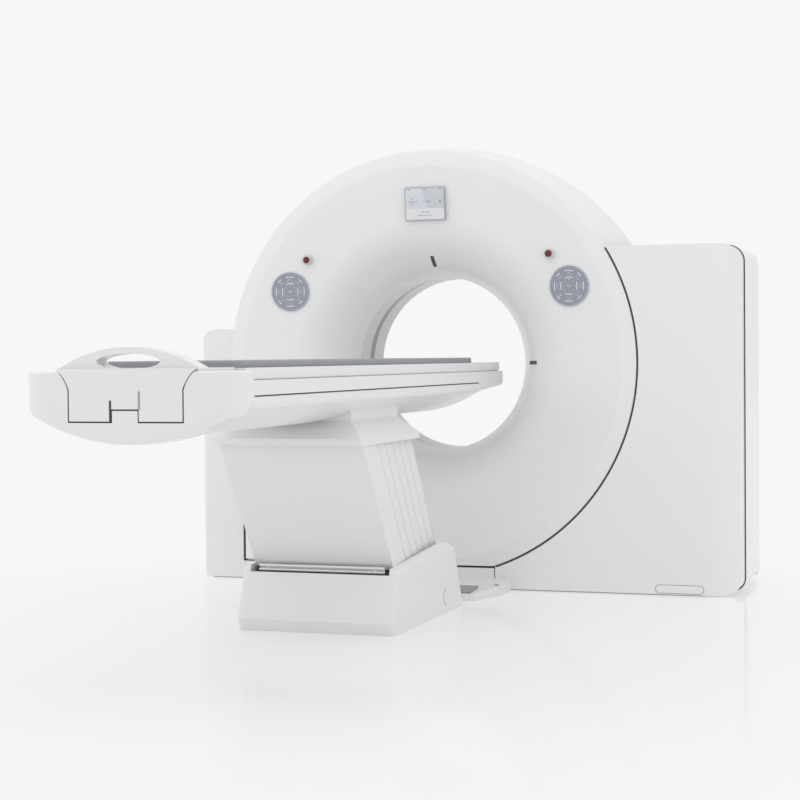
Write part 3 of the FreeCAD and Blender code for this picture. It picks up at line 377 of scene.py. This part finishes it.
def ribbon(points, low_y, high_y, thickness):
    """A strip that runs through (x, z) points, as deep as the two stations along Y."""
    bpy.ops.object.select_all(action="DESELECT")
    bpy.ops.mesh.primitive_plane_add(size=1, location=(points[0][0], (low_y + high_y) / 2,
                                                       points[0][1]))
    strip = bpy.context.object
    strip.scale = (1, high_y - low_y, 1)
    bpy.ops.object.transform_apply(location=False, rotation=False, scale=True)
    bpy.ops.object.mode_set(mode="EDIT")
    bpy.ops.mesh.select_mode(type="VERT")
    for side in (-1, 1):
        mesh = bmesh.from_edit_mesh(strip.data)
        for vertex in mesh.verts:
            vertex.select_set(vertex.co.y * side > 0)
        mesh.select_flush(False)
        bmesh.update_edit_mesh(strip.data)
        bpy.ops.mesh.merge(type="CENTER")
    bpy.ops.mesh.select_all(action="SELECT")
    for (x0, z0), (x1, z1) in zip(points, points[1:]):
        bpy.ops.mesh.extrude_region_move(TRANSFORM_OT_translate={"value": (x1 - x0, 0, z1 - z0)})
    bpy.ops.object.mode_set(mode="OBJECT")
    wall = strip.modifiers.new("wall", "SOLIDIFY")
    wall.thickness = thickness
    wall.offset = 0
    bpy.ops.object.modifier_apply(modifier="wall")
    bpy.ops.object.mode_set(mode="EDIT")
    bpy.ops.mesh.select_all(action="SELECT")
    bpy.ops.mesh.normals_make_consistent(inside=False)
    bpy.ops.object.mode_set(mode="OBJECT")
    return strip


def turned(profile, steps):
    """A closed (radius, y) outline spun once round the bore axis, cut level with the ring."""
    bpy.ops.object.select_all(action="DESELECT")
    bpy.ops.mesh.primitive_plane_add(size=0.001, location=(profile[0][0], profile[0][1], ISO_Z))
    ring = bpy.context.object
    bpy.ops.object.mode_set(mode="EDIT")
    bpy.ops.mesh.select_mode(type="VERT")
    bpy.ops.mesh.select_all(action="SELECT")
    bpy.ops.mesh.merge(type="CENTER")
    for (r0, y0), (r1, y1) in zip(profile, profile[1:] + profile[:1]):
        bpy.ops.mesh.extrude_vertices_move(TRANSFORM_OT_translate={"value": (r1 - r0, y1 - y0, 0)})
    bpy.ops.mesh.select_all(action="SELECT")
    bpy.ops.mesh.remove_doubles(threshold=0.00001)
    bpy.ops.mesh.spin(steps=steps, angle=2 * math.pi, center=(0, 0, ISO_Z), axis=(0, 1, 0))
    bpy.ops.mesh.select_all(action="SELECT")
    bpy.ops.mesh.remove_doubles(threshold=0.00001)
    bpy.ops.mesh.bisect(plane_co=(0, 0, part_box("ring_front_cover")[0][2] + 0.003),
                        plane_no=(0, 0, 1), use_fill=True, clear_inner=True)
    bpy.ops.mesh.select_all(action="SELECT")
    bpy.ops.mesh.normals_make_consistent(inside=False)
    bpy.ops.object.mode_set(mode="OBJECT")
    return ring


# ---- pad on the table top ----------------------------------------------------------------
low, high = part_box("table_pad")
pad = block(low, high)
half_height = (high[2] - low[2]) / 2
round_edges(pad, lambda m, way: abs(way.z) > 0.9, 0.030, 6)
round_edges(pad, lambda m, way: m.z > half_height * 0.9, 0.006, 4)
round_edges(pad, lambda m, way: m.z < -half_height * 0.9 and abs(way.z) < 0.1, 0.003, 2)
pad = settle("table_pad_vinyl", "tabletop", pad_vinyl)
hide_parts("table_pad")

# ---- painted shade: a dark line along the joint on each side of the carriage -------------
low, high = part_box("table_carriage")
SHADE_LINE_Z = 0.810
for side, word in ((-1, "left"), (1, "right")):
    face = side * high[0]
    shade_line = block((min(face, face - side * 0.004) - 0.0002, low[1] + 0.002, SHADE_LINE_Z - 0.0032),
                 (max(face, face - side * 0.004) + 0.0002, high[1] - 0.36, SHADE_LINE_Z + 0.0032))
    round_edges(shade_line, lambda m, way: abs(way.y) > 0.9, 0.0015, 2)
    settle(word + "_carriage_gap_shade", "carriage", painted_gap_shade)

# ---- access plate at the foot of the tall stand ------------------------------------------
plate_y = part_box("right_stand_front_cover")[0][1]
plate = block((0.908, plate_y - 0.0015, 0.009), (1.090, plate_y + 0.004, 0.039))
round_edges(plate, lambda m, way: abs(way.y) > 0.9, 0.0149, 8)
round_edges(plate, lambda m, way: m.y < -0.0024, 0.0008, 2)
settle("stand_access_plate", "installation", cover)
# Painted shade: a near-black ring just larger than the plate stands for the shaded gap round it.
ring = block((0.9065, plate_y - 0.0004, 0.0075), (1.0915, plate_y + 0.003, 0.0405))
round_edges(ring, lambda m, way: abs(way.y) > 0.9, 0.0164, 8)
settle("stand_access_gap_shade", "installation", painted_gap_shade)

# ---- painted gap shade: dark strips round the ring, in the stands' joints and round the end piece ---
stand_low, stand_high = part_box("right_stand_front_cover")
seam_radius = math.sqrt(BALL_RADIUS ** 2 - stand_low[1] ** 2) + 0.0012
top_turn = math.degrees(math.asin((stand_high[2] - ISO_Z) / seam_radius)) - 0.4
SEAM_FOOT_X = 0.280
low_turn = -math.degrees(math.acos(SEAM_FOOT_X / seam_radius))
corner_low, corner_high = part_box("front_corner_cover")
joint_x, line_z = corner_low[0] - 0.006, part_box("plinth_covers")[1][2] + 0.001
# Outline of the rim beside the seam: (radius, distance from the ring's middle plane).
BEVEL = ((0.7806, 0.3513), (0.8300, 0.3466), (0.8380, 0.3444), (0.8394, 0.3410),
         (0.8412, 0.3010), (0.8300, 0.3060))
for face, word in ((-1, "front"), (1, "rear")):
    def span(start, end):
        """Two stations that far behind the stands' front or rear plane, lower one first."""
        return sorted(face * (-stand_low[1] - depth) for depth in (start, end))

    # Painted shade: a dark ribbon on the seam circle, where the gap between ring and stand lies in
    # shade.
    ribbon(arc((0, ISO_Z), seam_radius, low_turn, top_turn, 72), *span(-0.0004, 0.006), 0.0060)
    settle("ring_gap_shade_" + word, "installation", painted_gap_shade)
    turned([(radius, face * y) for radius, y in BEVEL], 224)
    settle("ring_bevel_" + word, "gantry_ring", cover)
    # Painted shade: dark ribbons in the joint between corner cover and stand, and along the top of
    # the plinth.
    ribbon([(joint_x, corner_high[2] - 0.030), (joint_x, line_z)], *span(0.0012, 0.008), 0.0090)
    settle("corner_gap_shade_" + word, "installation", painted_gap_shade)
    ribbon([(joint_x, line_z), (0.276, line_z)], *span(-0.0006, 0.0035), 0.0030)
    settle("plinth_gap_shade_" + word, "installation", painted_gap_shade)
    near, far = span(0.0086, 0.0842)
    block((joint_x - 0.0034, near, 0.0135), (joint_x + 0.0026, far, 0.520))
    round_edges(bpy.context.object, lambda m, way: True, 0.0012, 2)
    settle("corner_filler_" + word, "installation", cover)


def stand_gap_shade(name, side, outer, top, inner, top_round, foot_round, low_y, high_y):
    """A dark strip of painted shade in the joint between a stand's front and rear covers."""
    sink = 0.0025
    x, z = outer - sink, top - sink
    upper, lower = top_round - sink, foot_round - sink
    path = [(inner, z)] + arc((x - upper, z - upper), upper, 90, 0, 10)
    path += arc((x - lower, 0.004 + sink + lower), lower, 0, -90, 8)
    ribbon([(side * px, pz) for px, pz in path], low_y, high_y, 0.012)
    settle(name, "installation", painted_gap_shade)


rear_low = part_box("right_stand_rear_cover")[0]
stand_gap_shade("right_stand_gap_shade", 1, stand_high[0], stand_high[2], inner=0.815, top_round=0.062,
           foot_round=0.050, low_y=stand_high[1] + 0.0005, high_y=rear_low[1] - 0.0005)
left_low, left_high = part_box("left_stand_front_cover")
stand_gap_shade("left_stand_gap_shade", -1, -left_low[0], left_high[2], inner=0.905, top_round=0.068,
           foot_round=0.030, low_y=left_high[1] + 0.0005, high_y=-left_high[1] - 0.0005)

end_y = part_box("foot_end_cap")[0][1]
SHADE_LINE_FOOT_Z = 0.748
bend = arc((-0.2345, 0.8375), 0.0675, -5, 46, 8)
left_edge = list(reversed(bend))
left_edge += [(-0.167, SHADE_LINE_FOOT_Z), (-0.039, SHADE_LINE_FOOT_Z), (-0.039, 0.780)]
right_edge = [(-x, z) for x, z in reversed(left_edge)]
# Painted shade: a dark ribbon round the end piece, where its seam lies in shade.
ribbon(left_edge + right_edge, end_y + 0.0042, end_y + 0.030, 0.0034)
settle("end_piece_gap_shade", "tabletop", painted_gap_shade)
# Painted shade: flat dark and grey strips on the end face stand for the shade inside two slots.
for x, low, high, word in ((-0.042, 0.748, 0.805, "left"), (0.042, 0.781, 0.829, "right")):
    ribbon([(x, low), (x, high)], end_y - 0.0003, end_y + 0.006, 0.0060)
    settle("end_slot_shade_" + word, "tabletop", painted_gap_shade if word == "left" else painted_slot_shade)

# ---- light strip behind the two trim rails -----------------------------------------------
rail_low, rail_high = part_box("trim_rails")
rail_z = (rail_low[2] + rail_high[2]) / 2
ribbon([(rail_low[0] + 0.002, rail_z), (rail_high[0] - 0.002, rail_z)], rail_low[1] + 0.010,
       rail_low[1] + 0.013, 0.017)
settle("rail_backing", "front_panel", lift_cover)

# ---- piping along the rear edge of each side leaf ----------------------------------------
# The leaves rise at this many degrees from the floor, as the lift's arms do.
ARM_RISE = 56
LEAN = math.radians(90 - ARM_RISE)
for number in range(1, 7):
    leaf_low, leaf_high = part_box("bellows_leaf_%d" % number)
    tall = leaf_high[2] - leaf_low[2]
    for side, word in ((-1, "left"), (1, "right")):
        bpy.ops.object.select_all(action="DESELECT")
        bpy.ops.mesh.primitive_cube_add(
            size=1, location=(side * leaf_high[0],
                              leaf_high[1] - 0.0035 - tall * math.tan(LEAN) / 2,
                              (leaf_low[2] + leaf_high[2]) / 2),
            rotation=(LEAN, 0, 0), scale=(0.0022, 0.0034, tall / math.cos(LEAN) - 0.016))
        round_edges(bpy.context.object, lambda m, way: True, 0.0009, 2)
        settle("leaf_%d_piping_%s" % (number, word), "leaf_%d" % number, piping)

# ---- sensor window on the pedal shoe -----------------------------------------------------
block((0.318, -0.509, 0.034), (0.334, -0.491, 0.0395))
round_edges(bpy.context.object, lambda m, way: True, 0.0012, 3)
settle("shoe_sensor", "installation", dark_film)

# ---- round caps on the sides of the base -------------------------------------------------
cheek_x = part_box("base_cheeks")[1][0]
CAP_DEPTH = 0.006
CAP_Y, CAP_Z = -1.0, 0.055
for side, word in ((-1, "left"), (1, "right")):
    for radius, rise, name, material in ((0.0275, 0.0005, "gap", painted_gap_shade),
                                         (0.0260, 0.0015, "cap", lift_cover)):
        bpy.ops.object.select_all(action="DESELECT")
        cap_x = side * (cheek_x + rise - CAP_DEPTH / 2)
        bpy.ops.mesh.primitive_cylinder_add(vertices=48, radius=radius, depth=CAP_DEPTH,
                                            location=(cap_x, CAP_Y, CAP_Z),
                                            rotation=(0, side * math.pi / 2, 0))
        round_edges(bpy.context.object, lambda m, way: m.z > 0.0029, 0.0010, 2)
        settle("%s_base_%s" % (word, name), "installation", material)

# ---- floor, backdrop, light and camera ---------------------------------------------------
bpy.ops.object.select_all(action="DESELECT")
bpy.ops.mesh.primitive_plane_add(size=60, location=(0, 0, -0.0005))
floor = bpy.context.object
floor.name = "studio_floor"
floor_material = bpy.data.materials.new("studio_floor")
floor_material.use_nodes = True
tree = floor_material.node_tree
shader = tree.nodes["Principled BSDF"]
shader.inputs["Base Color"].default_value = (0.88, 0.88, 0.885, 1)
shader.inputs["Roughness"].default_value = 0.12
shader.inputs["Specular IOR Level"].default_value = 0.5
glow = tree.nodes.new("ShaderNodeEmission")
glow.inputs["Color"].default_value = BACKDROP
place = tree.nodes.new("ShaderNodeTexCoord")
centre = tree.nodes.new("ShaderNodeMapping")
centre.inputs["Location"].default_value = (-0.1, 1.7, 0)
tree.links.new(place.outputs["Object"], centre.inputs["Vector"])
reach = tree.nodes.new("ShaderNodeVectorMath")
reach.operation = "LENGTH"
tree.links.new(centre.outputs["Vector"], reach.inputs[0])
fade = tree.nodes.new("ShaderNodeMapRange")
fade.interpolation_type = "SMOOTHSTEP"
fade.inputs["From Min"].default_value = 0.7
fade.inputs["From Max"].default_value = 3.0
fade.inputs["To Min"].default_value = 0.30
tree.links.new(reach.outputs["Value"], fade.inputs["Value"])
blend = tree.nodes.new("ShaderNodeMixShader")
tree.links.new(fade.outputs[0], blend.inputs[0])
tree.links.new(shader.outputs[0], blend.inputs[1])
tree.links.new(glow.outputs[0], blend.inputs[2])
tree.links.new(blend.outputs[0], tree.nodes["Material Output"].inputs["Surface"])
floor.data.materials.append(floor_material)
floor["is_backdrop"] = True

world = bpy.data.worlds.new("studio")
bpy.context.scene.world = world
world.use_nodes = True
tree = world.node_tree
back = tree.nodes["Background"]
back.inputs["Color"].default_value = (1, 1, 1, 1)
back.inputs["Strength"].default_value = 0.85
seen = tree.nodes.new("ShaderNodeBackground")
seen.inputs["Color"].default_value = BACKDROP
path = tree.nodes.new("ShaderNodeLightPath")
blend = tree.nodes.new("ShaderNodeMixShader")
tree.links.new(path.outputs["Is Camera Ray"], blend.inputs[0])
tree.links.new(back.outputs[0], blend.inputs[1])
tree.links.new(seen.outputs[0], blend.inputs[2])
tree.links.new(blend.outputs[0], tree.nodes["World Output"].inputs["Surface"])


def softbox(name, place, aim, width, height, power):
    """A soft area lamp at place that faces aim."""
    data = bpy.data.lights.new(name, "AREA")
    data.shape = "RECTANGLE"
    data.size, data.size_y = width, height
    data.energy = power
    lamp = bpy.data.objects.new(name, data)
    bpy.context.scene.collection.objects.link(lamp)
    lamp.location = place
    lamp.rotation_euler = (Vector(aim) - Vector(place)).to_track_quat("-Z", "Y").to_euler()
    return lamp


softbox("overhead_softbox", (0.0, -1.5, 4.6), (0, -0.6, 0.6), 5.0, 5.0, 46)
fill = softbox("left_softbox", (-4.6, -4.2, 2.6), (0, -0.6, 0.9), 3.0, 3.0, 30)
fill.visible_glossy = False
edge_fill = softbox("right_softbox", (5.2, -2.6, 2.2), (0.6, -0.4, 0.8), 2.4, 3.0, 15)
edge_fill.visible_glossy = False

YAW, PITCH, ROLL = math.radians(18.858), math.radians(1.392), math.radians(-0.5)
forward = Vector((-math.sin(YAW) * math.cos(PITCH), math.cos(YAW) * math.cos(PITCH),
                  -math.sin(PITCH)))
level = Vector((math.cos(YAW), math.sin(YAW), 0))
upward = level.cross(forward)
right = level * math.cos(ROLL) + upward * math.sin(ROLL)
up = upward * math.cos(ROLL) - level * math.sin(ROLL)
camera_data = bpy.data.cameras.new("photo_camera")
camera_data.sensor_width = 36
camera_data.lens = 81
camera_data.clip_end = 200
camera = bpy.data.objects.new("photo_camera", camera_data)
bpy.context.scene.collection.objects.link(camera)
CAMERA_PLACE = Vector((2.1967, -7.1010, 0.9144))
camera.matrix_world = Matrix(((right.x, up.x, -forward.x, CAMERA_PLACE.x),
                              (right.y, up.y, -forward.y, CAMERA_PLACE.y),
                              (right.z, up.z, -forward.z, CAMERA_PLACE.z), (0, 0, 0, 1)))
bpy.context.scene.camera = camera
bpy.context.scene.view_settings.view_transform = "Standard"

low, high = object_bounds()
